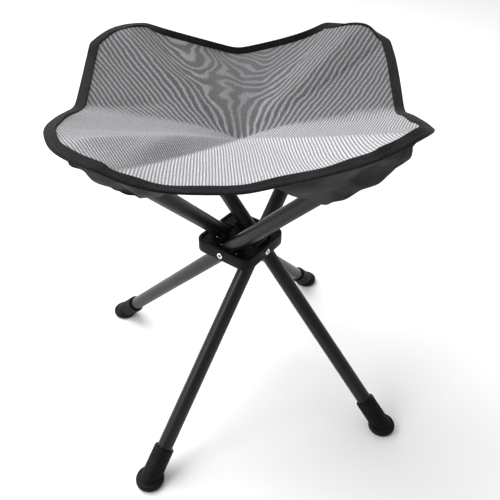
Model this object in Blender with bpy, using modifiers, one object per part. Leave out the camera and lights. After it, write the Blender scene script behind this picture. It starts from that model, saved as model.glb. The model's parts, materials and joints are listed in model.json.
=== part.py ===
"""Folding four-leg camp stool: four round tubes cross in a square pivot hub and carry a mesh sling seat.

Metres, +Z up. The origin is on the ground under the centre of the hub.
Leg k leans towards azimuth 45 + 90 k degrees at its seat end, so its foot stands on the opposite side.
The legs don't meet on one line: each passes the hub's centre line at PIVOT_OFFSET, like a pinwheel.
"""
import math

import bmesh
import bpy
from mathutils import Matrix, Vector

# Driving dimensions
LEG_COUNT = 4
LEG_LEAN = math.radians(43.8)       # from vertical, with the stool open
PIVOT_HEIGHT = 0.1945
PIVOT_OFFSET = 0.0202               # from the hub's centre line to a leg's own axis

TUBE_RADIUS = 0.008
TUBE_WALL = 0.001
TUBE_ABOVE_PIVOT = 0.232
TUBE_BELOW_PIVOT = 0.254

HUB_SIDE = 0.068
HUB_HEIGHT = 0.014
HUB_CORNER_RADIUS = 0.010
HUB_EDGE_ROUND = 0.0008
HUB_RECESS_DEPTH = 0.0012
HUB_RIM_WIDTH = 0.0035

PIN_RADIUS = 0.002
PIN_INNER_END = 0.0085              # from the hub's centre line
RIVET_HEAD_RADIUS = 0.0033
RIVET_HEAD_HEIGHT = 0.0014
RIVET_DIMPLE_RADIUS = 0.0014
RIVET_DIMPLE_DEPTH = 0.0008

GAP = 0.0003                        # between neighbouring pieces
ROUND_STEPS = 24

FOOT_SLEEVE_RADIUS = 0.0105
FOOT_SLEEVE_TOP = -0.228            # along the leg from its pivot
FOOT_SLEEVE_END = -0.270            # run on past the ground, then trimmed level inside the base
FOOT_BASE_RADIUS = 0.0146
FOOT_BASE_HEIGHT = 0.0078
FOOT_TRIM_HEIGHT = 0.0012

POCKET_LENGTH = 0.125
POCKET_MOUTH_RADIUS = 0.0125
POCKET_TIP_RADIUS = 0.0093
POCKET_CLOTH = 0.0009

SEAT_TURN = math.radians(-6.5)      # the seat's corners follow the pinwheel of the leg ends
SEAT_CORNER_REACH = 0.181           # from the centre to the middle of a cut corner
SEAT_EDGE_REACH = 0.147             # from the centre to the middle of a long edge
SEAT_EDGE_FLARE = 0.011             # how much further out a long edge is at its ends
SEAT_CORNER_HEIGHT = 0.3785
SEAT_EDGE_HEIGHT = 0.344            # at the sagging middle of a long edge
SEAT_CENTRE_HEIGHT = 0.313
SEAT_CLOTH = 0.0016
SEAT_GRID = 16
BINDING_RADIUS = 0.0024

COLOURS = {                         # name: (red, green, blue, roughness, metallic)
    "tube_paint": (0.055, 0.058, 0.062, 0.38, 0.6),
    "hub_plastic": (0.012, 0.013, 0.013, 0.45, 0.0),
    "foot_rubber": (0.014, 0.015, 0.015, 0.65, 0.0),
    "tip_plastic": (0.02, 0.02, 0.02, 0.5, 0.0),
    "rivet_steel": (0.75, 0.75, 0.76, 0.25, 1.0),
    "seat_mesh": (0.42, 0.43, 0.45, 0.8, 0.0),
    "binding_tape": (0.02, 0.022, 0.021, 0.85, 0.0),
    "pocket_cloth": (0.035, 0.037, 0.036, 0.85, 0.0),
}


def clear_scene():
    for old in list(bpy.data.objects):
        bpy.data.objects.remove(old, do_unlink=True)


def new_collection(name):
    made = bpy.data.collections.new(name)
    bpy.context.scene.collection.children.link(made)
    return made


def make_materials():
    made = {}
    for name, (red, green, blue, roughness, metallic) in COLOURS.items():
        material = bpy.data.materials.new(name)
        material.use_nodes = True
        shader = material.node_tree.nodes["Principled BSDF"]
        shader.inputs["Base Color"].default_value = (red, green, blue, 1.0)
        shader.inputs["Roughness"].default_value = roughness
        shader.inputs["Metallic"].default_value = metallic
        material.diffuse_color = (red, green, blue, 1.0)
        made[name] = material
    return made


def add_mesh(name, mesh, material, parent=None, matrix=None):
    """A new part from a mesh, in the parent's frame, shaded smooth with crisp edges."""
    part = bpy.data.objects.new(name, mesh)
    PARTS.objects.link(part)
    if material:
        mesh.materials.append(MATERIALS[material])
    mesh.shade_smooth()
    mesh.set_sharp_from_angle(angle=math.radians(35))
    part.parent = parent
    if matrix is not None:
        part.matrix_local = matrix
    return part


def as_cutter(part):
    part.hide_render = True
    part.display_type = "WIRE"
    PARTS.objects.unlink(part)
    CUTTERS.objects.link(part)
    return part


def cut(part, cutter, operation="DIFFERENCE"):
    modifier = part.modifiers.new("cut_by_" + cutter.name, "BOOLEAN")
    modifier.operation = operation
    modifier.solver = "EXACT"
    modifier.object = cutter


def box_mesh(name, size_x, size_y, size_z, corner_radius=0.0, edge_round=0.0):
    """A box with its upright corners rounded, and its top and bottom edges eased."""
    mesh = bpy.data.meshes.new(name)
    work = bmesh.new()
    bmesh.ops.create_cube(work, size=1.0, matrix=Matrix.Diagonal((size_x, size_y, size_z, 1.0)))
    if corner_radius:
        upright = [e for e in work.edges if abs((e.verts[0].co - e.verts[1].co).z) > size_z / 2]
        bmesh.ops.bevel(work, geom=upright, offset=corner_radius, segments=5, affect="EDGES", profile=0.5)
    if edge_round:
        level = [e for e in work.edges
                 if len(e.link_faces) == 2 and abs((e.verts[0].co - e.verts[1].co).z) < 1e-6
                 and any(abs(f.normal.z) > 0.9 for f in e.link_faces)]
        bmesh.ops.bevel(work, geom=level, offset=edge_round, segments=2, affect="EDGES", profile=0.5)
    work.to_mesh(mesh)
    work.free()
    return mesh


def turned(name, profile, material, parent=None, matrix=None, steps=ROUND_STEPS):
    """A solid of revolution about local Z. The profile is (radius, height), top to bottom down the outside."""
    mesh = bpy.data.meshes.new(name)
    points = [(radius, 0.0, height) for radius, height in profile]
    edges = [(i, i + 1) for i in range(len(points) - 1)]
    if profile[0][0] > 0.0:
        edges.append((len(points) - 1, 0))
    mesh.from_pydata(points, edges, [])
    part = add_mesh(name, mesh, material, parent, matrix)
    screw = part.modifiers.new("turn", "SCREW")
    screw.axis = "Z"
    screw.steps = steps
    screw.render_steps = steps
    screw.use_merge_vertices = True
    screw.merge_threshold = 0.00001
    screw.use_smooth_shade = True
    return part


def arc(centre_radius, centre_height, radius, first, last, count):
    """Points on a round of a turned profile, between two angles in degrees from +X."""
    angles = [math.radians(first + (last - first) * i / (count - 1)) for i in range(count)]
    return [(centre_radius + radius * math.cos(a), centre_height + radius * math.sin(a)) for a in angles]


def leg_azimuth(k):
    return math.radians(45.0) + math.tau * k / LEG_COUNT


def leg_side(k):
    """Unit vector along leg k's hinge pin, from its outer end towards the hub's middle."""
    azimuth = leg_azimuth(k)
    return Vector((-math.sin(azimuth), math.cos(azimuth), 0.0))


def pivot_point(k):
    return Vector((0.0, 0.0, PIVOT_HEIGHT)) - PIVOT_OFFSET * leg_side(k)


# The hub

def slot_outline():
    """Side view of a leg's slot: the room that a tube sweeps from leaning to upright."""
    half = HUB_HEIGHT / 2 + 0.001
    upright = TUBE_RADIUS + GAP
    leaning = half * math.tan(LEG_LEAN) + upright / math.cos(LEG_LEAN)
    turn = (upright / math.cos(LEG_LEAN) - upright) / math.tan(LEG_LEAN)
    return [(-upright, half), (-upright, turn), (-leaning, -half),
            (upright, -half), (upright, -turn), (leaning, half)]


def slot_cutter(k):
    """The slot's outline as a flat curve, thickened across the tube, made a mesh."""
    curve = bpy.data.curves.new("slot_outline", "CURVE")
    curve.dimensions = "2D"
    curve.fill_mode = "BOTH"
    curve.extrude = TUBE_RADIUS + GAP
    outline = slot_outline()
    spline = curve.splines.new("POLY")
    spline.points.add(len(outline) - 1)
    for point, (along, height) in zip(spline.points, outline):
        point.co = (along, height, 0.0, 1.0)
    spline.use_cyclic_u = True
    flat = bpy.data.objects.new("slot_flat", curve)
    PARTS.objects.link(flat)
    flat.rotation_euler = (math.radians(90.0), 0.0, leg_azimuth(k))
    flat.location = pivot_point(k)
    bpy.context.view_layer.update()
    graph = bpy.context.evaluated_depsgraph_get()
    mesh = bpy.data.meshes.new_from_object(flat.evaluated_get(graph))
    work = bmesh.new()
    work.from_mesh(mesh)
    bmesh.ops.remove_doubles(work, verts=work.verts, dist=0.00001)
    work.to_mesh(mesh)
    work.free()
    cutter = add_mesh("slot_cutter_%d" % (k + 1), mesh, None, matrix=flat.matrix_world.copy())
    bpy.data.objects.remove(flat)
    return as_cutter(cutter)


def pin_frame(k):
    """Frame on leg k's hinge axis at the hub's outer face, with Z pointing out of the hub."""
    outward = -leg_side(k)
    place = Vector((0.0, 0.0, PIVOT_HEIGHT)) + outward * HUB_SIDE / 2
    return Matrix.Translation(place) @ outward.to_track_quat("Z", "Y").to_matrix().to_4x4()


def pin_bore_cutter(k):
    depth = HUB_SIDE / 2 - PIN_INNER_END + 2 * GAP
    bore = turned("pin_bore_cutter_%d" % (k + 1),
                  [(0.0, 0.005), (PIN_RADIUS + GAP, 0.005), (PIN_RADIUS + GAP, -depth), (0.0, -depth)],
                  None, matrix=pin_frame(k), steps=20)
    return as_cutter(bore)


def make_hub():
    mesh = box_mesh("hub_block", HUB_SIDE, HUB_SIDE, HUB_HEIGHT, HUB_CORNER_RADIUS, HUB_EDGE_ROUND)
    hub = add_mesh("hub_block", mesh, "hub_plastic")
    hub.location = (0.0, 0.0, PIVOT_HEIGHT)
    hub.rotation_euler = (0.0, 0.0, math.radians(45.0))
    inside = HUB_SIDE - 2 * HUB_RIM_WIDTH
    recess_mesh = box_mesh("recess", inside, inside, 2 * HUB_RECESS_DEPTH, HUB_CORNER_RADIUS - HUB_RIM_WIDTH)
    for name, level in (("top", 0.5), ("bottom", -0.5)):
        recess = as_cutter(add_mesh("recess_cutter_" + name, recess_mesh.copy(), None))
        recess.location = (0.0, 0.0, PIVOT_HEIGHT + level * HUB_HEIGHT)
        recess.rotation_euler = hub.rotation_euler
        cut(hub, recess)
    for k in range(LEG_COUNT):
        cut(hub, slot_cutter(k))
        cut(hub, pin_bore_cutter(k))


def make_rivet(k):
    """Domed tubular rivet: the leg's hinge pin, held in the hub's wall and core."""
    length = HUB_SIDE / 2 - PIN_INNER_END
    top = GAP + RIVET_HEAD_HEIGHT
    profile = [(0.0, top - RIVET_DIMPLE_DEPTH), (RIVET_DIMPLE_RADIUS * 0.8, top - RIVET_DIMPLE_DEPTH),
               (RIVET_DIMPLE_RADIUS, top - 0.0002), (RIVET_DIMPLE_RADIUS + 0.0004, top)]
    profile += [(RIVET_HEAD_RADIUS - 0.0008, top - 0.0003), (RIVET_HEAD_RADIUS - 0.0002, top - 0.0008),
                (RIVET_HEAD_RADIUS, GAP), (PIN_RADIUS, GAP), (PIN_RADIUS, -length), (0.0, -length)]
    turned("pivot_rivet_%d" % (k + 1), profile, "rivet_steel", matrix=pin_frame(k), steps=20)


# The legs, each in a frame on its hinge axis with Z up along the tube

def leg_frame(k):
    empty = bpy.data.objects.new("leg_%d_hinge" % (k + 1), None)
    empty.empty_display_size = 0.03
    PARTS.objects.link(empty)
    empty.location = pivot_point(k)
    empty.rotation_euler = (0.0, LEG_LEAN, leg_azimuth(k))
    return empty


def make_tube(k, frame):
    length = TUBE_ABOVE_PIVOT + TUBE_BELOW_PIVOT
    middle = (TUBE_ABOVE_PIVOT - TUBE_BELOW_PIVOT) / 2
    mesh = bpy.data.meshes.new("leg_tube")
    work = bmesh.new()
    bmesh.ops.create_cone(work, cap_ends=False, segments=ROUND_STEPS, radius1=TUBE_RADIUS,
                          radius2=TUBE_RADIUS, depth=length, matrix=Matrix.Translation((0.0, 0.0, middle)))
    work.to_mesh(mesh)
    work.free()
    tube = add_mesh("leg_tube_%d" % (k + 1), mesh, "tube_paint", frame)
    wall = tube.modifiers.new("wall", "SOLIDIFY")
    wall.thickness = TUBE_WALL
    wall.offset = -1.0
    across = Matrix.Rotation(math.radians(90.0), 4, "X")
    reach = TUBE_RADIUS + 0.002
    hole = turned("tube_hole_cutter_%d" % (k + 1),
                  [(0.0, reach), (PIN_RADIUS + GAP, reach), (PIN_RADIUS + GAP, -reach), (0.0, -reach)],
                  None, frame, across, steps=20)
    cut(tube, as_cutter(hole))


def make_tip_plug(k, frame):
    """Plastic end plug that keeps the tube's upper edge off the cloth."""
    shank = TUBE_RADIUS - TUBE_WALL - GAP
    seat = TUBE_ABOVE_PIVOT + GAP
    profile = [(0.0, seat + 0.0016), (0.004, seat + 0.0014), (0.0068, seat + 0.0009), (TUBE_RADIUS, seat + 0.0003),
               (TUBE_RADIUS, seat), (shank, seat), (shank, seat - 0.011), (shank - 0.001, seat - 0.012),
               (0.0, seat - 0.012)]
    turned("tip_plug_%d" % (k + 1), profile, "tip_plastic", frame)


def make_foot(k, frame):
    """Rubber foot: a sleeve on the tube, moulded in one with a round base that lies flat on the ground."""
    bore = TUBE_RADIUS + GAP
    wall_round = (FOOT_SLEEVE_RADIUS - bore) / 2
    profile = [(0.0, FOOT_SLEEVE_TOP), (bore + wall_round, FOOT_SLEEVE_TOP)]
    profile += arc(bore + wall_round, FOOT_SLEEVE_TOP - wall_round, wall_round, 60.0, 0.0, 3)
    profile += [(FOOT_SLEEVE_RADIUS, FOOT_SLEEVE_END), (0.0, FOOT_SLEEVE_END)]
    foot = turned("foot_cap_%d" % (k + 1), profile, "foot_rubber", frame)
    bore_end = -TUBE_BELOW_PIVOT - GAP
    bore_top = FOOT_SLEEVE_TOP + 0.002
    bore_cutter = turned("foot_bore_cutter_%d" % (k + 1),
                         [(0.0, bore_top), (bore, bore_top), (bore, bore_end), (0.0, bore_end)], None, frame)
    leg_direction = Vector((math.sin(LEG_LEAN), 0.0, math.cos(LEG_LEAN)))
    centre_height = FOOT_BASE_HEIGHT / 2
    ground = (centre_height - PIVOT_HEIGHT) / leg_direction.z
    level = Matrix.Rotation(-LEG_LEAN, 4, "Y")
    place = Matrix.Translation((0.0, 0.0, ground)) @ level @ Matrix.Translation((0.0, 0.0, -centre_height))
    trim_size = 0.08
    below = Matrix.Translation((0.0, 0.0, FOOT_TRIM_HEIGHT - trim_size / 2))
    trim = add_mesh("foot_trim_cutter_%d" % (k + 1), box_mesh("trim", trim_size, trim_size, trim_size),
                    None, frame, place @ below)
    cut(foot, as_cutter(trim))
    upper = FOOT_BASE_HEIGHT * 0.3
    lower = FOOT_BASE_HEIGHT * 0.4
    base_profile = [(0.0, FOOT_BASE_HEIGHT)]
    base_profile += arc(FOOT_BASE_RADIUS - upper, FOOT_BASE_HEIGHT - upper, upper, 90.0, 0.0, 4)
    base_profile += arc(FOOT_BASE_RADIUS - lower, lower, lower, 0.0, -90.0, 5)
    base_profile += [(0.0, 0.0)]
    base = turned("foot_base_cutter_%d" % (k + 1), base_profile, None, frame, place)
    cut(foot, as_cutter(base), "UNION")
    cut(foot, as_cutter(bore_cutter))


def make_pocket(k, frame):
    """Cloth sleeve under the seat's corner: closed over the tube's end, open towards the hub."""
    top = TUBE_ABOVE_PIVOT + 0.0024
    mouth = top - POCKET_LENGTH
    outer_mouth = POCKET_MOUTH_RADIUS
    outer_tip = POCKET_TIP_RADIUS
    profile = [(0.0, top + POCKET_CLOTH), (outer_tip - 0.001, top + POCKET_CLOTH), (outer_tip, top),
               (outer_mouth, mouth), (outer_mouth - POCKET_CLOTH, mouth), (outer_tip - POCKET_CLOTH, top - 0.0002),
               (outer_tip - POCKET_CLOTH - 0.0006, top), (0.0, top)]
    turned("corner_pocket_%d" % (k + 1), profile, "pocket_cloth", frame)


# The seat

def from_edge_middle(azimuth):
    """Angle from the nearest long edge's middle, 0 there and 45 degrees at a corner."""
    quarter = math.tau / LEG_COUNT
    folded = (azimuth - SEAT_TURN) % quarter
    return min(folded, quarter - folded)


def rim_reach(azimuth):
    """Plan distance from the centre to the seat's rim: a square with cut corners, softly joined."""
    eta = from_edge_middle(azimuth)
    psi = math.radians(45.0) - eta
    flare = SEAT_EDGE_FLARE * (eta / math.radians(32.0)) ** 1.5
    edge = (SEAT_EDGE_REACH + flare) / math.cos(eta)
    corner = SEAT_CORNER_REACH / math.cos(psi)
    sharpness = 30.0
    return (edge ** -sharpness + corner ** -sharpness) ** (-1.0 / sharpness)


def rim_height(azimuth):
    """The rim sags in a soft V between the corners."""
    share = from_edge_middle(azimuth) / math.radians(45.0)
    soft = 0.12
    sag = (math.hypot(share, soft) - soft) / (math.hypot(1.0, soft) - soft)
    return SEAT_EDGE_HEIGHT + (SEAT_CORNER_HEIGHT - SEAT_EDGE_HEIGHT) * sag


def seat_point(azimuth, share, inset=0.0):
    """A point of the sling at a share of the way from the centre to the rim."""
    reach = (rim_reach(azimuth) - inset) * share
    corner = 0.5 - 0.5 * math.cos(4.0 * from_edge_middle(azimuth))
    power = 1.5 - 0.7 * corner
    height = SEAT_CENTRE_HEIGHT + (rim_height(azimuth) - SEAT_CENTRE_HEIGHT) * share ** power
    return Vector((reach * math.cos(azimuth), reach * math.sin(azimuth), height))


def on_disc(x, y):
    """Azimuth and share of the way out, for a point of the square grid rounded to a disc."""
    across = x * math.sqrt(1.0 - y * y / 2)
    along = y * math.sqrt(1.0 - x * x / 2)
    return math.atan2(along, across) + SEAT_TURN, min(math.hypot(across, along), 1.0)


def make_seat_panel():
    """The mesh sling: a flat grid rounded to a disc, pulled out to the rim and sagged."""
    mesh = bpy.data.meshes.new("seat_panel")
    work = bmesh.new()
    bmesh.ops.create_grid(work, x_segments=SEAT_GRID, y_segments=SEAT_GRID, size=1.0)
    inset = 2 * BINDING_RADIUS + 4 * GAP
    for vertex in work.verts:
        azimuth, share = on_disc(vertex.co.x, vertex.co.y)
        vertex.co = seat_point(azimuth, share, inset)
    work.to_mesh(mesh)
    work.free()
    panel = add_mesh("seat_panel", mesh, "seat_mesh")
    cloth = panel.modifiers.new("cloth", "SOLIDIFY")
    cloth.thickness = SEAT_CLOTH
    cloth.offset = 0.0


def make_seat_binding():
    """The tape round the sling's edge, as a closed cord just outside the panel."""
    curve = bpy.data.curves.new("seat_binding", "CURVE")
    curve.dimensions = "3D"
    curve.bevel_depth = BINDING_RADIUS
    curve.bevel_resolution = 2
    curve.materials.append(MATERIALS["binding_tape"])
    steps = [2.0 * i / SEAT_GRID - 1.0 for i in range(SEAT_GRID)]
    around = [(1.0, t) for t in steps] + [(-t, 1.0) for t in steps]
    around += [(-1.0, -t) for t in steps] + [(t, -1.0) for t in steps]
    spline = curve.splines.new("POLY")
    spline.points.add(len(around) - 1)
    for point, (x, y) in zip(spline.points, around):
        point.co = (*seat_point(on_disc(x, y)[0], 1.0, BINDING_RADIUS), 1.0)
    spline.use_cyclic_u = True
    spline.use_smooth = True
    PARTS.objects.link(bpy.data.objects.new("seat_binding", curve))


clear_scene()
PARTS = new_collection("camp_stool")
CUTTERS = new_collection("cutters")
MATERIALS = make_materials()

make_hub()
for leg in range(LEG_COUNT):
    make_rivet(leg)
    hinge = leg_frame(leg)
    make_tube(leg, hinge)
    make_tip_plug(leg, hinge)
    make_foot(leg, hinge)
    make_pocket(leg, hinge)
make_seat_panel()
make_seat_binding()
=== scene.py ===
"""Visual model of the folding four-leg camp stool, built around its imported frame. Metres, +Z up."""
import json
import math

import bmesh
import bpy
import numpy as np
from mathutils import Matrix, Vector

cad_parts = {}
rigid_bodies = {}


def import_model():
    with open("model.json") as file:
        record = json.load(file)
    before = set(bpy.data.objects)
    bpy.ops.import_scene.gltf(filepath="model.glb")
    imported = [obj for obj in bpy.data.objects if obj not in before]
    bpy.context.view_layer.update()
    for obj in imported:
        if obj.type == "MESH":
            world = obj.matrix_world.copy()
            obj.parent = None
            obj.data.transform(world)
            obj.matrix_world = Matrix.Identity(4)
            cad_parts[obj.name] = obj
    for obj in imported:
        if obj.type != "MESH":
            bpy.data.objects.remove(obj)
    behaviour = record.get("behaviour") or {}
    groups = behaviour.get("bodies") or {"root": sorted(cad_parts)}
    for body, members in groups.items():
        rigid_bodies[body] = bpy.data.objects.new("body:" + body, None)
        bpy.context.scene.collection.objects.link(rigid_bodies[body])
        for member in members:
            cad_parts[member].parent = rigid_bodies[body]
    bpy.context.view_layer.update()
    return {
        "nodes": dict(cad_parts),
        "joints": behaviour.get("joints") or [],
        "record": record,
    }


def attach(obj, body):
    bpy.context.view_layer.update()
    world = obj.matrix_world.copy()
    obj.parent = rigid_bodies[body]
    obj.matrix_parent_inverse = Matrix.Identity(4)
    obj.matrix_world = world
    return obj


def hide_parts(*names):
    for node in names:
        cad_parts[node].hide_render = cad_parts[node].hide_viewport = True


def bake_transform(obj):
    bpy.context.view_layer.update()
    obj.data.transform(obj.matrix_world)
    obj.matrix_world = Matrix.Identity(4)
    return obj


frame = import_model()

MM = 0.001
UP = np.array([0.0, 0.0, 1.0])

# Tubes, as in the solids
TUBE_RADIUS = 8.0 * MM
TUBE_WALL = 1.0 * MM
TUBE_TOP = 232.0 * MM               # along the leg from its hinge
TUBE_BOTTOM = -254.0 * MM

# Seat. Corner k sits over the end of leg k + 1: rear right, rear left, front left, front right
SEAT_TURN = math.radians(-6.5)
SEAT_CELLS = 96                     # across the cloth
CLOTH = 0.9 * MM
CENTRE_HEIGHT = 311.0 * MM
TIP_REACH = 158.0 * MM              # where the cloth lies on a leg's end
TIP_HEIGHT = 371.3 * MM
BLEND_REACH = 108.0 * MM            # distance from a mid-line, read only into blend_pocket's way, which nothing uses
POCKET_LEAN = 0.46                  # how far blend_pocket's way leans away from its outward side; that way is not used
PLAN_SIZE = 400.0 * MM              # the square of plan that the cloth's UV map covers
PAST_TIP = 4.0 * MM                 # how far the cloth stays at a leg's end before it turns to the rim
FRONT_LEFT_LIFT = 4.0 * MM          # how much the front left ridge is bowed up
SKIN_PULL = 0.012 * MM              # downward pull at each point of the stretched skin
SKIN_ROUNDS = 900                   # passes that settle the skin
SOFTEN_ROUNDS = 5                   # passes that round its creases

TAPE_WIDTH = 9.6 * MM
TAPE_THICKNESS = 2.3 * MM
TAPE_TUCK = 2.5 * MM                # how far the cloth runs in under the tape
TAPE_STEPS = 48                     # rings in each eighth of the rim
TAPE_ROLL = math.radians(3.5)       # how much its slope wanders along the rim
TAPE_UV_LENGTH = 1300.0 * MM        # length and width of tape that its UV map covers
TAPE_UV_WIDTH = 24.0 * MM

# Rim of one corner, from its middle to the middle of the next long edge: (outward, sideways, height) in mm.
# The first two rows are square to the corner's own direction, the last two to the long edge's.
RIM_CORNER = ((179, 0, 374), (180, 43, 369))
RIM_EDGE = ((153, 65, 358), (147, 0, 344))
# How each corner differs from that: row of its six points, then (outward, sideways, height) in mm.
RIM_CHARACTER = {
    0: {0: (2, -6, -1), 3: (0, -1, 1), 4: (0, -1, 3)},
    1: {1: (-9, -6, -1), 2: (-4, -4, 0), 4: (-1, 0, 2), 5: (-10, 2, -3)},
    2: {0: (6, -1, -5), 2: (3, 2, -4), 4: (-3, 0, 4), 5: (-6, -1, 5)},
    3: {0: (2, 1, 3), 1: (-12, -3, -4), 2: (-8, -2, 1), 3: (3, -2, -7), 4: (2, 0, 1), 5: (-2, 3, 0)},
}
RIM_COUNT = 24                      # points round the rim, six to a corner
HALF_SIDE = 3                       # points from a corner's middle to the middle of a long edge
# Slope of the tape outwards, in degrees above level, at each corner's six points.
TAPE_SLOPE = {
    0: (-45, 35, 70, 75, 70, 10),
    1: (0, 5, 0, 0, -5, -10),
    2: (-15, -12, -4, -8, -15, -20),
    3: (-20, -10, 0, 0, 5, 0),
}
# Folds in the cloth, in mm of the seat's own plan: start, end, height (pressed in where negative), width
CREASES = (
    ((0, -6), (-78, -122), -6.0, 9.0),
    ((-52, -50), (-82, -120), 4.5, 7.0),
    ((-138, 4), (-72, 30), -4.0, 8.0),
    ((-118, -92), (-40, -46), -3.0, 7.0),
    ((6, 130), (2, 30), -3.5, 10.0),
    ((34, 128), (22, 48), -2.5, 7.0),
    ((-34, 128), (-20, 52), -2.0, 7.0),
    ((138, -18), (70, -6), -4.0, 8.0),
    ((60, -134), (30, -60), -2.0, 9.0),
)


def smooth_share(t):
    """0 to 1 with level ends."""
    t = np.clip(t, 0.0, 1.0)
    return t * t * (3.0 - 2.0 * t)


def unit(v):
    return v / np.maximum(np.linalg.norm(v, axis=-1, keepdims=True), 1e-12)


class Leg:
    """A leg's hinge and directions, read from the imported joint."""

    def __init__(self, joint):
        self.body = joint["child"]
        self.number = int(self.body.split("_")[1])
        self.pivot = np.array(joint["pos_m"])
        self.side = -np.array(joint["axis"])
        self.out = np.array([self.side[1], -self.side[0], 0.0])
        self.lean = math.radians(joint["range_deg"][1])
        self.along = math.sin(self.lean) * self.out + math.cos(self.lean) * UP
        self.above = np.cross(self.side, self.along)
        if self.above[2] < 0:
            self.above = -self.above

    def at(self, distance):
        return self.pivot + distance * self.along

    def matrix(self):
        """Frame on the hinge with Z up along the tube and Y along the pin, towards the hub's middle."""
        x = np.cross(self.side, self.along)
        columns = np.column_stack([x, self.side, self.along])
        made = Matrix([list(row) for row in columns]).to_4x4()
        made.translation = Vector(self.pivot)
        return made


LEGS = sorted((Leg(joint) for joint in frame["joints"]), key=lambda leg: leg.number)
ROOT = frame["joints"][0]["parent"]


# Materials

class Shader:
    """A material and a short way to add its nodes."""

    def __init__(self, name, colour, roughness, metallic=0.0, **sockets):
        self.material = bpy.data.materials.new(name)
        self.material.use_nodes = True
        self.tree = self.material.node_tree
        self.main = self.tree.nodes["Principled BSDF"]
        self.main.inputs["Base Color"].default_value = (*colour, 1.0)
        self.main.inputs["Roughness"].default_value = roughness
        self.main.inputs["Metallic"].default_value = metallic
        for socket, value in sockets.items():
            self.main.inputs[socket.replace("_", " ")].default_value = value

    def node(self, kind, inputs=None, **settings):
        made = self.tree.nodes.new("ShaderNode" + kind)
        for key, value in settings.items():
            setattr(made, key, value)
        for key, value in (inputs or {}).items():
            if isinstance(value, bpy.types.NodeSocket):
                self.tree.links.new(value, made.inputs[key])
            else:
                made.inputs[key].default_value = value
        return made

    def maths(self, operation, a, b=0.0, clamp=False):
        return self.node("Math", {0: a, 1: b}, operation=operation, use_clamp=clamp).outputs[0]

    def plus(self, a, b):
        return self.maths("ADD", a, b)

    def minus(self, a, b):
        return self.maths("SUBTRACT", a, b)

    def times(self, a, b):
        return self.maths("MULTIPLY", a, b)

    def wave(self, distance, length, shift=0.0):
        """Sine of a distance with a wavelength, moved on by a shift in radians."""
        return self.maths("SINE", self.plus(self.times(distance, math.tau / length), shift))

    def ramp(self, value, low, high, to_low=0.0, to_high=1.0, smooth=True):
        return self.node("MapRange", {"Value": value, "From Min": low, "From Max": high,
                                      "To Min": to_low, "To Max": to_high},
                         interpolation_type="SMOOTHSTEP" if smooth else "LINEAR").outputs["Result"]

    def mix(self, factor, a, b):
        made = self.node("Mix", data_type="RGBA")
        for socket, value in ((made.inputs[0], factor), (made.inputs[6], a), (made.inputs[7], b)):
            if isinstance(value, bpy.types.NodeSocket):
                self.tree.links.new(value, socket)
            elif socket.type == "RGBA":
                socket.default_value = (*value, 1.0)
            else:
                socket.default_value = value
        return made.outputs[2]

    def noise(self, scale, detail=2.0, vector=None, roughness=0.5):
        inputs = {"Scale": scale, "Detail": detail, "Roughness": roughness}
        if vector is not None:
            inputs["Vector"] = vector
        return self.node("TexNoise", inputs).outputs["Fac"]

    def position(self):
        return self.node("TexCoord").outputs["Object"]

    def bump(self, height, strength, distance):
        made = self.node("Bump", {"Height": height, "Strength": strength, "Distance": distance})
        self.link(made.outputs["Normal"], "Normal")

    def link(self, output, socket):
        self.tree.links.new(output, self.main.inputs[socket])


def tube_material():
    """Dark satin powder coat."""
    shader = Shader("tube_paint", (0.01, 0.011, 0.011), 0.34, Specular_IOR_Level=0.28)
    place = shader.position()
    speckle = shader.noise(1100.0, 3.0, place)
    broad = shader.noise(14.0, 3.0, place)
    tone = shader.mix(broad, (0.003, 0.0035, 0.0034), (0.008, 0.009, 0.009))
    flecks = shader.ramp(speckle, 0.55, 0.75, 0.0, 0.35)
    shader.link(shader.mix(flecks, tone, (0.05, 0.054, 0.054)), "Base Color")
    shader.link(shader.ramp(broad, 0.3, 0.7, 0.28, 0.4), "Roughness")
    shader.bump(speckle, 0.15, 0.0002)
    return shader.material


def plastic_material(name="hub_plastic"):
    """Fine-textured black plastic."""
    shader = Shader(name, (0.002, 0.002, 0.002), 0.5, Specular_IOR_Level=0.09)
    place = shader.position()
    grain = shader.noise(1500.0, 2.0, place)
    broad = shader.noise(40.0, 2.0, place)
    shader.link(shader.mix(broad, (0.002, 0.002, 0.002), (0.005, 0.005, 0.005)), "Base Color")
    shader.link(shader.ramp(broad, 0.3, 0.7, 0.4, 0.58), "Roughness")
    shader.bump(grain, 0.18, 0.0002)
    return shader.material


def rubber_material():
    """Matt black rubber, a little dusty low down."""
    shader = Shader("foot_rubber", (0.003, 0.0035, 0.0033), 0.6, Specular_IOR_Level=0.14)
    place = shader.position()
    grain = shader.noise(700.0, 3.0, place)
    dust = shader.noise(90.0, 5.0, place)
    height = shader.node("SeparateXYZ", {0: place}).outputs["Z"]
    low = shader.ramp(height, 0.008, 0.0, 0.0, 0.35)
    worn = shader.maths("MULTIPLY", low, dust, clamp=True)
    shader.link(shader.mix(worn, (0.003, 0.0035, 0.0033), (0.045, 0.044, 0.042)), "Base Color")
    shader.link(shader.ramp(dust, 0.3, 0.7, 0.5, 0.72), "Roughness")
    shader.bump(grain, 0.25, 0.0003)
    return shader.material


def steel_material():
    """Bright plated steel with fine scratches."""
    shader = Shader("rivet_steel", (0.78, 0.78, 0.79), 0.22, 1.0)
    scratches = shader.noise(900.0, 4.0, shader.position())
    shader.link(shader.ramp(scratches, 0.3, 0.7, 0.16, 0.34), "Roughness")
    shader.bump(scratches, 0.1, 0.0001)
    return shader.material


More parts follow.
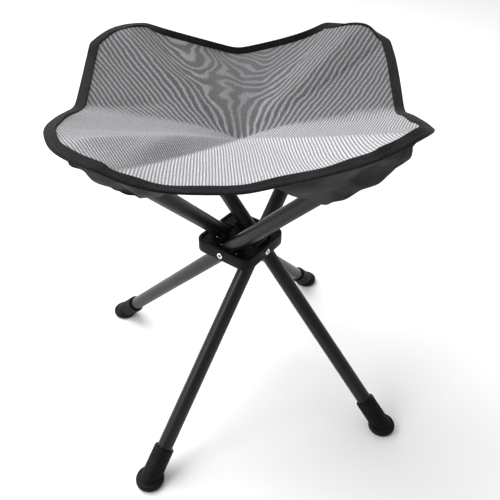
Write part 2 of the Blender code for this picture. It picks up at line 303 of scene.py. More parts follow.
def mesh_material():
    """Open woven mesh: pale threads on a grey ground, laid out in mm of the seat's own plan. Each panel has
    its own tone: painted light on the front panel, painted shade on the side panels and the rear.
    """
    shader = Shader("seat_mesh", (0.3, 0.3, 0.31), 0.8, Specular_IOR_Level=0.2, Sheen_Weight=0.1)
    plus, minus, times = shader.plus, shader.minus, shader.times
    flat = shader.node("UVMap", uv_map="cloth").outputs["UV"]
    size = PLAN_SIZE / MM
    plan = shader.node("Mapping", {"Vector": flat, "Scale": (size, size, 1.0),
                                   "Location": (-size / 2, -size / 2, 0.0)}).outputs["Vector"]
    parts = shader.node("SeparateXYZ", {0: plan})
    across, back = parts.outputs["X"], parts.outputs["Y"]
    patchy = shader.noise(0.06, 3.0, plan)
    grain = shader.noise(0.7, 3.0, plan, 0.7)
    wander = times(minus(shader.noise(0.02, 3.0, plan), 0.5), 5.0)              # of the ribs, in radians
    ragged = times(minus(patchy, 0.5), 9.0)                                     # edge of the rear, in degrees
    drift = times(minus(shader.noise(0.022, 1.0, plan), 0.5), 24.0)             # of the rear's middle, in mm
    bearing = shader.maths("DEGREES", shader.maths("ARCTAN2", across, times(back, -1.0)))   # 0 at the front

    def straight(azimuth, pitch):
        """Wave across ribs that run at a plan azimuth in degrees."""
        turn = math.radians(azimuth + 90.0)
        reach = shader.node("VectorMath", {0: plan, 1: (math.cos(turn), math.sin(turn), 0.0)},
                            operation="DOT_PRODUCT").outputs["Value"]
        return shader.wave(reach, pitch, wander)

    def fanned(pitch, lean, width):
        """Wave across ribs that lean inwards on both sides and swirl where they meet in the middle."""
        middle = plus(plus(times(back, -0.16), 8.0), drift)
        side = shader.maths("TANH", shader.maths("DIVIDE", minus(across, middle), width))
        reach = plus(times(across, 0.8), times(times(back, side), -lean))
        return shader.wave(reach, pitch, plus(wander, times(minus(patchy, 0.5), 5.0)))

    def without(a):
        return minus(1.0, a)

    def past(value, limit, soft):
        return shader.ramp(value, limit - soft, limit + soft)

    rear = past(shader.maths("ABSOLUTE", plus(bearing, ragged)), 90.0, 5.0)
    rear_middle = past(shader.maths("ABSOLUTE", bearing), 160.0, 14.0)
    fore = without(rear)
    off_side = past(bearing, -60.0, 2.0)        # past the left panel
    off_facet = past(bearing, -31.0, 1.2)       # past the facet beside the front panel
    off_front = past(bearing, 45.0, 1.2)        # past the front panel, into the right one
    fan = fanned(4.4, 0.56, 52.0)
    panels = [
        # where it shows, wave across its ribs, ribs' width, ground, threads; ground and threads are painted
        # light on the front panel and painted shade on the side panels and the rear
        (times(fore, times(off_facet, without(off_front))), straight(-88.5, 2.35), 0.26, 0.185, 0.60),
        (times(fore, times(off_side, without(off_facet))), straight(-62.0, 2.3), 0.06, 0.130, 0.46),
        (times(fore, without(off_side)), straight(-48.0, 2.2), 0.06, 0.112, 0.42),
        (times(fore, off_front), straight(-114.0, 2.5), 0.10, 0.140, 0.50),
        (times(rear, without(rear_middle)), fan, -0.20, 0.072, 0.265),
        (times(rear, rear_middle), fan, -0.20, 0.078, 0.165),
    ]
    ground, threads, ribs = 0.0, 0.0, 0.0
    # each panel's ground and threads bring in its painted light or painted shade
    for mask, wave, wide, low, high in panels:
        shown = times(mask, shader.ramp(wave, -0.5 - wide, 0.8 - wide))
        ground = plus(ground, times(mask, low))
        threads = plus(threads, times(shown, high - low))
        ribs = plus(ribs, shown)
    weft = shader.wave(back, 2.1, times(wander, 1.5))
    warp = shader.wave(across, 1.3)
    threads = times(threads, shader.ramp(weft, -1.0, 0.5, 0.5, 1.0))
    threads = times(threads, shader.ramp(grain, 0.3, 0.7, 0.55, 1.25))
    ground = times(ground, shader.ramp(warp, -1.0, 1.0, 0.8, 1.2, smooth=False))
    ground = times(ground, shader.ramp(grain, 0.3, 0.7, 0.8, 1.2))
    value = plus(ground, threads)
    grey = shader.node("CombineColor", {"Red": value, "Green": value, "Blue": times(value, 1.05)})
    shader.link(grey.outputs["Color"], "Base Color")
    shader.bump(plus(times(ribs, 0.7), times(plus(weft, warp), 0.15)), 0.5, 0.0006)
    return shader.material


def tape_material():
    """Black ribbed tape with one row of stitching near its inner edge, laid out in mm."""
    shader = Shader("binding_tape", (0.006, 0.007, 0.0065), 0.9, Specular_IOR_Level=0.15,
                    Sheen_Weight=0.05, Sheen_Roughness=0.4)
    plus, times = shader.plus, shader.times
    lint_colour = (0.022, 0.025, 0.023)
    flat = shader.node("UVMap", uv_map="cloth").outputs["UV"]
    parts = shader.node("SeparateXYZ", {0: flat})
    along = times(parts.outputs["X"], TAPE_UV_LENGTH / MM)
    across = times(parts.outputs["Y"], TAPE_UV_WIDTH / MM)
    weave = shader.wave(along, 1.5, times(across, 2.2))
    cloth = plus(times(weave, 0.5), times(shader.wave(across, 1.1), 0.3))
    place = shader.node("CombineXYZ", {0: along, 1: across}).outputs[0]
    lint = shader.noise(0.35, 4.0, place)
    wear = shader.noise(0.03, 3.0, place)
    stitch_row = shader.ramp(shader.maths("ABSOLUTE", shader.minus(across, 3.4)), 0.25, 0.55, 1.0, 0.0)
    stitch = times(stitch_row, shader.ramp(shader.wave(along, 3.2), -0.7, -0.35))
    raised = times(shader.ramp(weave, -0.2, 0.9), shader.ramp(lint, 0.35, 0.7))
    tone = shader.mix(raised, (0.0035, 0.004, 0.0038), lint_colour)
    tone = shader.mix(shader.ramp(wear, 0.4, 0.7, 0.0, 0.25), tone, lint_colour)
    shader.link(shader.mix(stitch, tone, (0.016, 0.017, 0.0165)), "Base Color")
    shader.bump(plus(cloth, times(stitch, 1.6)), 0.4, 0.0005)
    return shader.material


def pocket_material():
    """Thin black plain-weave cloth."""
    shader = Shader("pocket_cloth", (0.008, 0.009, 0.0085), 0.85, Specular_IOR_Level=0.2,
                    Sheen_Weight=0.05, Sheen_Roughness=0.45)
    flat = shader.node("UVMap", uv_map="cloth").outputs["UV"]
    parts = shader.node("SeparateXYZ", {0: flat})
    warp = shader.wave(parts.outputs["X"], 1.0 / 130.0)
    weft = shader.wave(parts.outputs["Y"], 1.0 / 95.0)
    weave = shader.times(warp, weft)
    cloudy = shader.noise(38.0, 4.0, shader.position())
    tone = shader.mix(shader.ramp(cloudy, 0.38, 0.66), (0.002, 0.0024, 0.0022), (0.026, 0.03, 0.027))
    shader.link(shader.mix(shader.ramp(weave, 0.1, 0.9, 0.0, 0.3), tone, (0.035, 0.038, 0.036)), "Base Color")
    shader.bump(shader.plus(weave, shader.times(cloudy, 2.0)), 0.35, 0.0005)
    return shader.material


MATERIALS = {
    "tube_paint": tube_material(),
    "hub_plastic": plastic_material(),
    "foot_rubber": rubber_material(),
    "tip_plastic": plastic_material("tip_plastic"),
    "rivet_steel": steel_material(),
    "seat_mesh": mesh_material(),
    "binding_tape": tape_material(),
    "pocket_cloth": pocket_material(),
}


def add_piece(name, mesh, slot, sharp=None):
    """Puts a mesh in the scene as a piece, smooth except at edges sharper than an angle in degrees."""
    mesh.materials.append(MATERIALS[slot])
    mesh.shade_smooth()
    if sharp is not None:
        mesh.set_sharp_from_angle(angle=math.radians(sharp))
    piece = bpy.data.objects.new(name, mesh)
    bpy.context.scene.collection.objects.link(piece)
    return piece


def cloth_piece(name, points, faces, slot, uvs, normals):
    """A piece in world metres, with a UV and a smooth normal for each of its points."""
    mesh = bpy.data.meshes.new(name)
    mesh.from_pydata([tuple(p) for p in points], [], [tuple(int(i) for i in f) for f in faces])
    piece = add_piece(name, mesh, slot)
    layer = mesh.uv_layers.new(name="cloth")
    corners = np.empty(len(mesh.loops), int)
    mesh.loops.foreach_get("vertex_index", corners)
    layer.data.foreach_set("uv", np.asarray(uvs)[corners].astype(np.float32).ravel())
    mesh.normals_split_custom_set_from_vertices([tuple(n) for n in normals])
    return piece


def two_sided(faces, total):
    """Faces of a closed sheet: the given ones, walls at its edges, and the same on the other side, whose
    points are numbered on by total."""
    ways = {(a, b) for face in faces for a, b in zip(face, face[1:] + face[:1])}
    walls = [(b, a, a + total, b + total) for a, b in sorted(ways) if (b, a) not in ways]
    return faces + [tuple(i + total for i in reversed(face)) for face in faces] + walls


# The rim

def rim_points():
    """Points that the rim's outer fold runs through, anticlockwise from the rear right corner's middle."""
    points = []
    for k in range(4):
        corner = SEAT_TURN + math.radians(45.0 + 90.0 * k)
        edge = corner + math.radians(45.0)
        out, side, height = RIM_CORNER[1]
        rows = [(corner, *RIM_CORNER[0]), (corner, out, side, height)]
        rows += [(edge, reach, -aside, level) for reach, aside, level in RIM_EDGE]
        rows += [(edge, *RIM_EDGE[0]), (edge + math.radians(45.0), out, -side, height)]
        for row, (azimuth, out, side, height) in enumerate(rows):
            outward = np.array([math.cos(azimuth), math.sin(azimuth), 0.0])
            place = out * outward + side * np.cross(UP, outward) + height * UP
            radial = unit(place * (1.0, 1.0, 0.0))
            change = RIM_CHARACTER[k].get(row, (0, 0, 0))
            place = place + change[0] * radial + change[1] * np.cross(UP, radial) + change[2] * UP
            points.append(place * MM)
    return np.array(points)


class Rim:
    """The rim's outer fold, in smooth runs that meet at slight corners, read at a float index that counts
    its points."""

    FINE = 100                      # samples to a point
    CORNERS = (1, 3, 5)             # of each corner's six points, those where the rim turns more sharply
    ROUNDING = 9                    # how far each is rounded off, in samples
    REACH = 40                      # samples on each side that the rounding looks at

    def __init__(self, points):
        count = len(points)
        turns = [2 * HALF_SIDE * k + c for k in range(4) for c in self.CORNERS]
        path = np.zeros((count * self.FINE, 3))
        for start, end in zip(turns, turns[1:] + [turns[0] + count]):
            run = points[[i % count for i in range(start, end + 1)]]
            fine = self.through(run, np.arange((end - start) * self.FINE) / self.FINE)
            path[(start * self.FINE + np.arange(len(fine))) % len(path)] = fine
        kernel = np.exp(-0.5 * (np.arange(-self.REACH, self.REACH + 1) / self.ROUNDING) ** 2)
        kernel /= kernel.sum()
        wrapped = np.concatenate([path[-self.REACH:], path, path[:self.REACH]])
        self.path = np.stack([np.convolve(wrapped[:, c], kernel, "valid") for c in range(3)], -1)
        self.count = count

    @staticmethod
    def through(points, at):
        """Natural cubic spline through a run of points."""
        count = len(points)
        steps = np.linalg.norm(np.diff(points, axis=0), axis=1) ** 0.5
        bend = np.zeros(points.shape)
        if count > 2:
            system = np.zeros((count - 2, count - 2))
            right = np.zeros((count - 2, 3))
            for i in range(1, count - 1):
                before, after = steps[i - 1], steps[i]
                system[i - 1, i - 1] = 2 * (before + after)
                if i > 1:
                    system[i - 1, i - 2] = before
                if i < count - 2:
                    system[i - 1, i] = after
                slopes = (points[i + 1] - points[i]) / after, (points[i] - points[i - 1]) / before
                right[i - 1] = 6 * (slopes[0] - slopes[1])
            bend[1:-1] = np.linalg.solve(system, right)
        i = np.minimum(np.floor(at).astype(int), count - 2)
        b = (at - i)[:, None]
        a = 1.0 - b
        h = steps[i][:, None]
        return (a * points[i] + b * points[i + 1]
                + ((a ** 3 - a) * bend[i] + (b ** 3 - b) * bend[i + 1]) * h * h / 6.0)

    def __call__(self, index):
        place = (np.asarray(index, float) % self.count) * self.FINE
        low = np.floor(place).astype(int)
        share = (place - low)[..., None]
        size = len(self.path)
        return (1 - share) * self.path[low % size] + share * self.path[(low + 1) % size]


RIM = Rim(rim_points())
SLOPE = [math.radians(angle) for k in range(4) for angle in TAPE_SLOPE[k]]


def even_index(side, share):
    """Rim index at a share of the way along a long side, even in length by halves."""
    share = np.asarray(share, float)
    half = np.where(share < 0.5, 0, 1)
    fine = np.linspace(0.0, HALF_SIDE, 241)
    result = np.zeros(share.shape)
    for h in (0, 1):
        start = HALF_SIDE * (2 * side + h)
        steps = np.linalg.norm(np.diff(RIM(start + fine), axis=0), axis=1)
        length = np.concatenate([[0.0], np.cumsum(steps)])
        found = start + np.interp((2.0 * share - h) * length[-1], length, fine)
        result = np.where(half == h, found, result)
    return result


def tape_frame(index):
    """At rim indices: the outer fold, the way along, the way out across the tape, and its upper normal."""
    index = np.asarray(index, float)
    fold = RIM(index)
    along = unit(RIM(index + 0.05) - RIM(index - 0.05))
    level = unit(np.cross(along, UP))
    low = np.floor(index).astype(int)
    share = smooth_share(index - low)
    slope = (1 - share) * np.take(SLOPE, low % RIM_COUNT) + share * np.take(SLOPE, (low + 1) % RIM_COUNT)
    lap = math.tau * index / RIM_COUNT
    slope = slope + TAPE_ROLL * (np.sin(17 * lap) + np.sin(29 * lap + 1.0))
    out = np.cos(slope)[..., None] * level + np.sin(slope)[..., None] * UP
    out = unit(out - np.sum(out * along, -1, keepdims=True) * along)
    return fold, along, out, unit(np.cross(out, along))


# The cloth

def seat_grid():
    """Unit-square coordinates of the cloth's grid, and each point's rim index and share of the way out."""
    line = np.linspace(-1.0, 1.0, SEAT_CELLS + 1)
    x, y = np.meshgrid(line, line, indexing="ij")
    share = np.maximum(np.abs(x), np.abs(y))
    safe = np.where(share < 1e-9, 1.0, share)
    ex, ey = x / safe, y / safe
    index = np.zeros(x.shape)
    done = share < 1e-9
    sides = ((0, ey, (1 - ex) / 2), (1, -ex, (1 - ey) / 2), (2, -ey, (1 + ex) / 2), (3, ex, (1 + ey) / 2))
    for side, reach, way in sides:
        on = ~done & (reach > 1 - 1e-9)
        index = np.where(on, even_index(side, way), index)
        done = done | on
    return x, y, share, index


def to_seat(points):
    """Plan coordinates square to the seat's long edges."""
    c, s = math.cos(SEAT_TURN), math.sin(SEAT_TURN)
    return np.stack([points[..., 0] * c + points[..., 1] * s, points[..., 1] * c - points[..., 0] * s], -1)


def neighbours(height):
    """Mean of each inner point's four neighbours."""
    return (height[:-2, 1:-1] + height[2:, 1:-1] + height[1:-1, :-2] + height[1:-1, 2:]) / 4.0


def relax(height, fixed, pull, rounds):
    """Settles the free points as a stretched skin with an even downward pull."""
    parity = (np.add.outer(np.arange(height.shape[0]), np.arange(height.shape[1])) % 2)[1:-1, 1:-1]
    free = ~fixed[1:-1, 1:-1]
    inner = height[1:-1, 1:-1]
    hurry = 1.9                     # over-relaxation, just under the 2 at which it stops settling
    for _ in range(rounds):
        for colour in (0, 1):
            change = hurry * (neighbours(height) - pull - inner)
            inner += np.where(free & (parity == colour), change, 0.0)
    return height


def soften(height, rounds):
    """Rounds creases a little, leaving the edge where it is."""
    for _ in range(rounds):
        height[1:-1, 1:-1] += 0.5 * (neighbours(height) - height[1:-1, 1:-1])
    return height


def crease(plan, start, end, depth, width):
    """A fold along a line of seat plan, deepest half way and nearly gone at its ends."""
    a, b = np.array(start) * MM, np.array(end) * MM
    way = b - a
    t = np.clip(((plan - a) @ way) / (way @ way), 0.0, 1.0)
    off = np.linalg.norm(plan - (a + t[..., None] * way), axis=-1)
    fade = np.sin(math.pi * (0.08 + 0.84 * t)) ** 0.6
    return depth * MM * fade * np.exp(-off / (width * MM))


def seat_surface():
    """Grid of the cloth's middle surface: stretched between its rim and four ridges from the legs' ends."""
    x, y, share, index = seat_grid()
    fold, _, out, _ = tape_frame(index)
    edge = fold - (TAPE_WIDTH - TAPE_TUCK) * out
    plan = edge[..., :2] * share[..., None]
    height = CENTRE_HEIGHT + (edge[..., 2] - CENTRE_HEIGHT) * share
    fixed = share > 1 - 1e-9
    ridge = np.abs(np.abs(x) - np.abs(y)) < 1e-9
    reach = np.linalg.norm(plan, axis=-1)
    rise = reach / TIP_REACH
    bow = np.where((x < 0) & (y < 0), FRONT_LEFT_LIFT, 0.0) * np.sin(math.pi * np.clip(rise, 0, 1))
    inner = CENTRE_HEIGHT + (TIP_HEIGHT - CENTRE_HEIGHT) * rise + bow
    turn = TIP_REACH + PAST_TIP
    edge_reach = np.linalg.norm(edge[..., :2], axis=-1)
    beyond = np.clip((reach - turn) / np.maximum(edge_reach - turn, MM), 0, 1)
    outer = TIP_HEIGHT + (edge[..., 2] - TIP_HEIGHT) * beyond
    on_ridge = np.where(reach < TIP_REACH, inner, outer)
    height = np.where(ridge & ~fixed, on_ridge, height)
    height = relax(height, fixed | ridge, SKIN_PULL, SKIN_ROUNDS)
    seat = to_seat(plan)
    height = height + np.where(fixed, 0.0, sum(crease(seat, *line) for line in CREASES))
    height = soften(height, SOFTEN_ROUNDS)
    return np.concatenate([plan, height[..., None]], -1), seat, x, y


def grid_normals(surface):
    """Unit normal at each point of a grid."""
    a = np.gradient(surface, axis=0)
    b = np.gradient(surface, axis=1)
    return unit(np.cross(a, b))


def octant_of(x, y):
    """Which eighth of the seat a point is in, from 0 between the first corner and the next mid-line."""
    angle = np.arctan2(y, x) - math.pi / 4
    return np.floor((angle % math.tau) / (math.pi / 4)).astype(int) % 8


def level_way(azimuth):
    """Level unit vector at an azimuth in degrees of the seat's own plan."""
    turn = SEAT_TURN + math.radians(azimuth)
    return np.array([math.cos(turn), math.sin(turn), 0.0])


def blend_octant(piece):
    """Bakes the piece's placement into its points."""
    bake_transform(piece)


def blend_pocket(piece, k, turn):
    """Works out a way across the pocket from its seam, which nothing uses, and bakes the piece's placement
    into its points.
    """
    outward = level_way(90.0 * (k + (turn > 0)))
    corner = level_way(45.0 + 90.0 * k)
    sideways = unit(corner - (corner @ outward) * outward)
    way = sideways - POCKET_LEAN * outward
    way = way * BLEND_REACH / (way @ way)
    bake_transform(piece)


def make_seat():
    """Eight pieces of cloth, cut along the mid-lines and the ridges."""
    surface, seat, x, y = seat_surface()
    size = SEAT_CELLS + 1
    number = np.arange(size * size).reshape(size, size)
    uvs = seat.reshape(-1, 2) / PLAN_SIZE + 0.5
    middle = surface.reshape(-1, 3)
    normals = grid_normals(surface).reshape(-1, 3)
    groups = [[] for _ in range(8)]
    for i in range(SEAT_CELLS):
        for j in range(SEAT_CELLS):
            a, b, c, d = number[i, j], number[i + 1, j], number[i + 1, j + 1], number[i, j + 1]
            if i == j:
                cells = [(a, b, c), (a, c, d)]
            elif i + j == SEAT_CELLS - 1:
                cells = [(a, b, d), (b, c, d)]
            else:
                cells = [(a, b, c, d)]
            for cell in cells:
                corners = list(cell)
                octant = octant_of(x.ravel()[corners].mean(), y.ravel()[corners].mean())
                groups[int(octant)].append(cell)
    pieces = []
    for octant, cells in enumerate(groups):
        used = sorted({v for cell in cells for v in cell})
        place = {v: i for i, v in enumerate(used)}
        up = normals[used]
        points = np.vstack([middle[used] + up * CLOTH / 2, middle[used] - up * CLOTH / 2])
        faces = two_sided([tuple(place[v] for v in cell) for cell in cells], len(used))
        pieces.append(cloth_piece("seat_mesh_%d" % (octant + 1), points, faces, "seat_mesh",
                                  np.vstack([uvs[used], uvs[used]]), np.vstack([up, -up])))
    return pieces


# The tape round the rim

def tape_section():
    """Cross-section of the folded tape: (inwards, up) from the outer fold and back."""
    upper = [(0.0, 0.0), (0.25, 0.62), (0.9, 0.95), (3.0, 1.0),
             (6.0, 1.02), (8.6, 1.0), (9.35, 0.8), (9.6, 0.45)]
    across = TAPE_WIDTH / upper[-1][0]
    upper = [(a * across, b * TAPE_THICKNESS / 2) for a, b in upper]
    lower = [(a, -b) for a, b in upper[:0:-1]]
    return upper + lower


def make_tape():
    """Eight lengths of tape, each along the edge of its piece of cloth."""
    section = tape_section()
    ring = len(section)
    marks = np.linspace(0.0, RIM_COUNT, 50 * RIM_COUNT + 1)
    steps = np.linalg.norm(np.diff(RIM(marks), axis=0), axis=1)
    length = np.concatenate([[0.0], np.cumsum(steps)])
    pieces = []
    for octant in range(8):
        index = np.linspace(HALF_SIDE * octant, HALF_SIDE * (octant + 1), TAPE_STEPS + 1)
        fold, along, out, normal = tape_frame(index)
        distance = np.interp(index, marks, length)
        points, uvs, normals = [], [], []
        for step in range(TAPE_STEPS + 1):
            outline = [fold[step] - out[step] * a + normal[step] * b for a, b in section]
            points += outline
            for s in range(ring):
                before, after = outline[s - 1], outline[(s + 1) % ring]
                normals.append(-unit(np.cross(along[step], after - before)))
            uvs += [(distance[step] / TAPE_UV_LENGTH, a / TAPE_UV_WIDTH + (0.5 if b < 0 else 0.0))
                    for a, b in section]
        faces = []
        for step in range(TAPE_STEPS):
            for s in range(ring):
                t = (s + 1) % ring
                faces.append((step * ring + s, step * ring + t, (step + 1) * ring + t, (step + 1) * ring + s))
        pieces.append(cloth_piece("seat_tape_%d" % (octant + 1), points, faces, "binding_tape", uvs, normals))
    return pieces


# The pockets under the corners

POCKET_END = 240.5 * MM             # along the leg: its closed tip, past the leg's plug
POCKET_DOME = 0.05                  # share of its length over which the tip closes
POCKET_MOUTH = {0: 148.0 * MM, 1: 148.0 * MM, 2: 150.0 * MM, 3: 146.0 * MM}
POCKET_RADIUS = 9.4 * MM
POCKET_CLOTH = 0.8 * MM
POCKET_GAP = 0.3 * MM               # between the pocket's seam and the tape above it
POCKET_INSIDE = 190.0 * MM          # along the leg: a point that every flank faces away from
POCKET_ROWS = 60
POCKET_COLUMNS = 26
POCKET_WRAP = 8                     # of the columns, those that run round the tube
# How far each pocket's two flanks are sewn along the rim, in points from its corner: clockwise, anticlockwise
POCKET_REACH = {0: (2.3, 2.3), 1: (2.3, 2.3), 2: (2.3, 2.25), 3: (2.75, 2.4)}


def flank_surface(k, turn):
    """Rows of points from the rim down and round to the tube's underside, from the leg's end to the mouth."""
    leg = LEGS[k]
    reach = POCKET_REACH[k][0 if turn < 0 else 1]
    rows = []
    for r in range(POCKET_ROWS + 1):
        v = r / POCKET_ROWS
        fold, _, out, normal = tape_frame(2 * HALF_SIDE * k + turn * reach * v)
        top = fold - out * TAPE_WIDTH / 2 - normal * (TAPE_THICKNESS / 2 + POCKET_GAP)
        centre = leg.at(POCKET_END + (POCKET_MOUTH[k] - POCKET_END) * v)
        open_share = 1.0 - min(v / POCKET_DOME, 1.0)
        radius = POCKET_RADIUS * math.sqrt(max(1e-6, 1.0 - open_share ** 2))
        away = top - centre
        hand = turn if turn * (away @ leg.side) > 0 or v == 0.0 else -turn
        across, lift = hand * (away @ leg.side), away @ leg.above
        distance = max(math.hypot(across, lift), radius * 1.001)
        touch = math.atan2(lift, across) - math.acos(radius / distance)
        around = np.linspace(max(touch, -math.pi / 2), -math.pi / 2, POCKET_WRAP)
        circle = [centre + radius * (hand * math.cos(a) * leg.side + math.sin(a) * leg.above) for a in around]
        flat = POCKET_COLUMNS + 1 - POCKET_WRAP
        straight = [top + (circle[0] - top) * t / flat for t in range(flat)]
        rows.append(straight + circle)
    return np.array(rows)


def facing_out(surface, inside):
    """Normals of a grid on the side that faces away from a point."""
    normal = grid_normals(surface)
    return normal if np.sum(normal * (surface - inside)) > 0 else -normal


def slack(v, w, phase):
    """How far loose cloth stands out, in mm, with v from the leg's end to the mouth and w from the seam to
    the tube's underside."""
    seam = smooth_share(w / 0.25)
    tip = smooth_share(v / 0.12)
    hem = 1.0 - 0.6 * smooth_share((v - 0.8) / 0.2)
    middle = 1.0 - smooth_share((w - 0.75) / 0.25)
    folds = (2.5 * np.sin(6.5 * v - 8.5 * w + phase) + 1.3 * np.sin(10.0 * v + 12.0 * w + 2.0 * phase)
             + 0.45 * np.sin(19.0 * v - 17.0 * w + 3.1 * phase))
    sag = 2.6 * np.sin(math.pi * np.clip(v * 1.25 - 0.05, 0, 1)) * smooth_share((w - 0.2) / 0.5)
    return seam * tip * (hem * folds * (0.25 + 0.75 * middle) + sag + 0.8)


def make_pocket(k, turn):
    """One flank of a corner's pocket as a closed sheet, and its seam's length. A corner's two flanks meet
    under the tube."""
    leg = LEGS[k]
    surface = flank_surface(k, turn)
    rows, columns = surface.shape[:2]
    inside = leg.at(POCKET_INSIDE)
    w, v = np.meshgrid(np.linspace(0, 1, columns), np.linspace(0, 1, rows))
    lift = slack(v, w, 1.7 * k + 0.9 * turn)
    surface = surface + facing_out(surface, inside) * (lift * MM)[..., None]
    under = surface[:, -1]
    under -= np.outer((under - leg.pivot) @ leg.side, leg.side)
    normal = facing_out(surface, inside)
    number = np.arange(rows * columns).reshape(rows, columns)
    quads = [(number[i, j], number[i + 1, j], number[i + 1, j + 1], number[i, j + 1])
             for i in range(rows - 1) for j in range(columns - 1)]
    a, b, c = surface[5, 4], surface[6, 4], surface[5, 5]
    if np.cross(b - a, c - a) @ normal[5, 4] < 0:
        quads = [tuple(reversed(quad)) for quad in quads]
    half = normal * POCKET_CLOTH / 2
    points = np.vstack([(surface + half).reshape(-1, 3), (surface - half).reshape(-1, 3)])
    uv = 0.9 * np.stack([w, v], -1).reshape(-1, 2) + 0.05
    normal = normal.reshape(-1, 3)
    name = "pocket_%d_%s" % (leg.number, "left" if turn < 0 else "right")
    piece = cloth_piece(name, points, two_sided(quads, rows * columns), "pocket_cloth",
                        np.vstack([uv, uv]), np.vstack([normal, -normal]))
    return piece, float(np.linalg.norm(np.diff(surface[:, 0], axis=0), axis=1).sum())


# Hard parts

def turned_mesh(name, profile, slot, matrix, steps=64, sharp=35.0):
    """A solid of revolution about the matrix's Z; the profile is (radius, height) down its outside."""
    work = bmesh.new()
    turns = [math.tau * i / steps for i in range(steps)]
    rings = []
    for radius, height in profile:
        if radius < 1e-7:
            rings.append([work.verts.new((0.0, 0.0, height))])
        else:
            circle = [(radius * math.cos(t), radius * math.sin(t), height) for t in turns]
            rings.append([work.verts.new(point) for point in circle])
    closed = len(rings[0]) > 1
    pairs = list(zip(rings, rings[1:])) + ([(rings[-1], rings[0])] if closed else [])
    for upper, lower in pairs:
        for i in range(steps):
            j = (i + 1) % steps
            corners = [upper[i % len(upper)], lower[i % len(lower)]]
            corners += [lower[j % len(lower)], upper[j % len(upper)]]
            corners = list(dict.fromkeys(corners))      # a ring of one point gives a triangle
            if len(corners) > 2:
                work.faces.new(corners)
    bmesh.ops.transform(work, matrix=matrix, verts=work.verts)
    bmesh.ops.recalc_face_normals(work, faces=work.faces)
    mesh = bpy.data.meshes.new(name)
    work.to_mesh(mesh)
    work.free()
    return add_piece(name, mesh, slot, sharp)


def make_tube(leg):
    """The leg's tube, open at both ends, with its rims rounded."""
    inner = TUBE_RADIUS - TUBE_WALL
    lip = 0.25 * MM
    margin = 10 * MM
    profile = [(inner, TUBE_TOP), (TUBE_RADIUS - lip, TUBE_TOP), (TUBE_RADIUS, TUBE_TOP - lip)]
    profile += [(TUBE_RADIUS, z) for z in np.linspace(TUBE_TOP - margin, TUBE_BOTTOM + margin, 24)]
    profile += [(TUBE_RADIUS, TUBE_BOTTOM + lip), (TUBE_RADIUS - lip, TUBE_BOTTOM), (inner, TUBE_BOTTOM)]
    tube = turned_mesh("tube_%d" % leg.number, profile, "tube_paint", leg.matrix())
    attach(tube, leg.body)
    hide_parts("leg_tube_%d" % leg.number)


# (radius, height) in mm from the outermost point of the rivet's rolled head
RIVET_RING = ((1.45, -3.2), (1.45, -0.9), (1.55, -0.45), (1.85, -0.12), (2.3, 0.0), (2.75, -0.1), (3.1, -0.4),
              (3.28, -0.8), (3.3, -1.1), (3.3, -1.35), (2.0, -1.4), (2.0, -3.2))
# Black plug in the bore, painted shade for the depth of the hole: (radius, height) as above
RIVET_BORE_SHADE = ((0.0, -0.75), (0.9, -0.78), (1.4, -0.95), (1.4, -3.0), (0.0, -3.0))


def make_rivet(leg):
    """Tubular rivet: a bright rolled ring on the hub's side, with its bore filled just under the rim by a
    black plug, painted shade for the dark hole.
    """
    node = frame["nodes"]["pivot_rivet_%d" % leg.number]
    pivot, side = Vector(leg.pivot), Vector(leg.side)
    face = max(((node.matrix_world @ v.co - pivot).dot(side) for v in node.data.vertices), key=abs)
    outward = leg.side * math.copysign(1.0, face)
    columns = np.column_stack([leg.along, np.cross(outward, leg.along), outward])
    place = Matrix([list(row) for row in columns]).to_4x4()
    place.translation = Vector(leg.pivot + leg.side * face)
    ring = [(r * MM, z * MM) for r, z in RIVET_RING]
    head = turned_mesh("rivet_%d" % leg.number, ring, "rivet_steel", place, 40, 50.0)
    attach(head, ROOT)
    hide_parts("pivot_rivet_%d" % leg.number)
    # a black plug of hub plastic fills the bore: painted shade standing in for the hole's depth
    hole = [(r * MM, z * MM) for r, z in RIVET_BORE_SHADE]
    core = turned_mesh("rivet_hole_%d" % leg.number, hole, "hub_plastic", place, 24)
    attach(core, ROOT)


def rounded_copy(name, node_name, slot, body, width):
    """The solid's own shape with its sharp edges rounded."""
    node = frame["nodes"][node_name]
    work = bmesh.new()
    work.from_mesh(node.data)
    bmesh.ops.transform(work, matrix=node.matrix_world, verts=work.verts)
    bmesh.ops.remove_doubles(work, verts=work.verts, dist=1e-6)
    bmesh.ops.dissolve_limit(work, angle_limit=math.radians(0.8), verts=work.verts, edges=work.edges)
    sharp = [e for e in work.edges if len(e.link_faces) == 2 and e.calc_face_angle(0.0) > math.radians(32.0)]
    bmesh.ops.bevel(work, geom=sharp, offset=width, segments=2, profile=0.6, affect="EDGES",
                    clamp_overlap=True)
    bmesh.ops.triangulate(work, faces=[f for f in work.faces if len(f.verts) > 4])
    mesh = bpy.data.meshes.new(name)
    work.to_mesh(mesh)
    work.free()
    piece = add_piece(name, mesh, slot, 40.0)
    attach(piece, body)
    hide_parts(node_name)


def paint_frame():
    """The carried-over solids get their materials."""
    slots = {entry["node"]: entry["material_slot"] for entry in frame["record"]["subparts"]}
    for name, node in frame["nodes"].items():
        node.data.materials.clear()
        node.data.materials.append(MATERIALS[slots[name]])
        node.data.shade_smooth()
        node.data.set_sharp_from_angle(angle=math.radians(35.0))


# Stage

FLOOR = 4.0                         # half the floor's side, in metres
DIM, BRIGHT = 0.44, 0.8             # the world's strength in front of the stool and behind it
CAMERA_PLACE = (-0.0674, -0.4938, 0.5681)
CAMERA_YAW = math.radians(8.94)     # from +Y towards +X
CAMERA_PITCH = math.radians(37.87)  # down
CAMERA_ROLL = math.radians(0.475)
CAMERA_LENS = 42.65                 # mm, on a sensor 36 mm wide


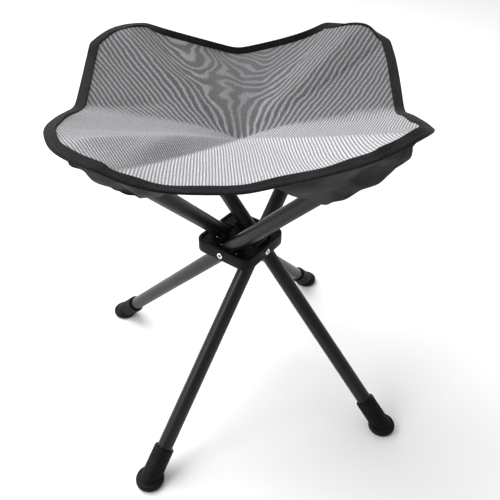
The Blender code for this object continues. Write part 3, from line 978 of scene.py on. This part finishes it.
def make_stage():
    """A pale floor, and a world that is a little dimmer in front of the stool than behind it."""
    mesh = bpy.data.meshes.new("floor")
    corners = [(-FLOOR, -FLOOR, 0), (FLOOR, -FLOOR, 0), (FLOOR, FLOOR, 0), (-FLOOR, FLOOR, 0)]
    mesh.from_pydata(corners, [], [(0, 1, 2, 3)])
    floor = bpy.data.objects.new("floor", mesh)
    bpy.context.scene.collection.objects.link(floor)
    paint = Shader("floor", (0.92, 0.92, 0.92), 0.9, Specular_IOR_Level=0.1)
    mesh.materials.append(paint.material)
    world = bpy.data.worlds.new("studio")
    world.use_nodes = True
    tree = world.node_tree
    background = tree.nodes["Background"]
    background.inputs["Color"].default_value = (1.0, 1.0, 1.0, 1.0)
    direction = tree.nodes.new("ShaderNodeTexCoord")
    parts = tree.nodes.new("ShaderNodeSeparateXYZ")
    shade = tree.nodes.new("ShaderNodeMapRange")
    shade.interpolation_type = "SMOOTHSTEP"
    for socket, value in (("From Min", -0.8), ("From Max", 0.5), ("To Min", DIM), ("To Max", BRIGHT)):
        shade.inputs[socket].default_value = value
    tree.links.new(direction.outputs["Generated"], parts.inputs[0])
    tree.links.new(parts.outputs["Y"], shade.inputs["Value"])
    tree.links.new(shade.outputs["Result"], background.inputs["Strength"])
    bpy.context.scene.world = world


def add_light(name, place, target, size, power):
    """A soft square lamp that faces its target."""
    lamp = bpy.data.lights.new(name, "AREA")
    lamp.size = size
    lamp.energy = power
    lit = bpy.data.objects.new(name, lamp)
    lit.location = place
    lit.rotation_euler = (Vector(target) - Vector(place)).to_track_quat("-Z", "Y").to_euler()
    bpy.context.scene.collection.objects.link(lit)


def make_camera():
    data = bpy.data.cameras.new("camera")
    data.lens = CAMERA_LENS
    data.sensor_width = 36.0
    camera = bpy.data.objects.new("camera", data)
    camera.location = CAMERA_PLACE
    level = math.cos(CAMERA_PITCH)
    look = Vector((math.sin(CAMERA_YAW) * level, math.cos(CAMERA_YAW) * level, -math.sin(CAMERA_PITCH)))
    turn = look.to_track_quat("-Z", "Y").to_matrix().to_4x4()
    camera.rotation_euler = (turn @ Matrix.Rotation(CAMERA_ROLL, 4, "Z")).to_euler()
    bpy.context.scene.collection.objects.link(camera)
    bpy.context.scene.camera = camera


make_stage()
make_camera()
add_light("key", (-0.7, 0.7, 1.6), (0.0, 0.0, 0.3), 1.6, 38.0)
add_light("fill", (-1.5, -0.5, 1.2), (0.0, 0.0, 0.2), 1.0, 14.0)
bpy.context.scene.view_settings.view_transform = "Standard"

paint_frame()
for leg in LEGS:
    make_tube(leg)
    make_rivet(leg)
    rounded_copy("foot_%d" % leg.number, "foot_cap_%d" % leg.number, "foot_rubber", leg.body, 0.5 * MM)
rounded_copy("hub", "hub_block", "hub_plastic", ROOT, 0.7 * MM)

for octant, (cloth, tape) in enumerate(zip(make_seat(), make_tape())):
    blend_octant(cloth)
    blend_octant(tape)
    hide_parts("seat_panel")
    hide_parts("seat_binding")
for k in range(4):
    for turn in (-1, 1):
        flank, seam = make_pocket(k, turn)
        blend_pocket(flank, k, turn)
        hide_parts("corner_pocket_%d" % LEGS[k].number)
